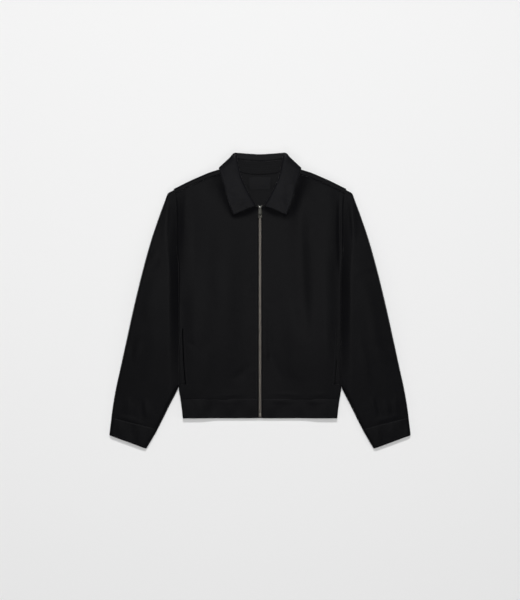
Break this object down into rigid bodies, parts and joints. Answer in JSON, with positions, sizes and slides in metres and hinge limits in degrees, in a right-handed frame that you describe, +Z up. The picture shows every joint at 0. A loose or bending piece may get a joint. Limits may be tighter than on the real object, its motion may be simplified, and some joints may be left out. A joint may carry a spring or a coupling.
{
  "type": "zip-through jacket",
  "caption": "Zip-through cloth jacket with a pointed fall collar, plain cuffs, a straight waistband and slit side pockets, laid flat on its back with its sides tucked in.",
  "frame": {"origin": "centre of the bounding box, on the surface the jacket lies on", "axes": "+Z up off that surface, +Y towards the collar, +X to the right as seen from above"},
  "size_m": [0.7854, 0.7708, 0.0136],
  "materials": {
    "cloth": "matte twill",
    "label": "smooth woven",
    "tape": "matte woven tape",
    "metal": "satin nickel plate"
  },
  "bodies": {
    "jacket": {"back": "cloth", "front_left": "cloth", "front_right": "cloth", "sleeve_left": "cloth", "sleeve_right": "cloth", "cuff_left": "cloth", "cuff_right": "cloth", "waistband": "cloth", "collar_stand": "cloth", "collar_leaf": "cloth", "pocket_welt_left": "cloth", "pocket_welt_right": "cloth", "neck_label": "label", "zip_tape_left": "tape", "zip_tape_right": "tape", "zip_chain": "metal", "zip_box": "metal", "zip_slider": "metal"},
    "pull_tab": {"zip_pull": "metal"}
  },
  "joints": [
    {"name": "pull_hinge", "type": "hinge", "parent": "jacket", "child": "pull_tab", "pos_m": [0, 0.2435, 0.0089], "axis": [-1, 0, 0], "range_deg": [0, 150]}
  ]
}
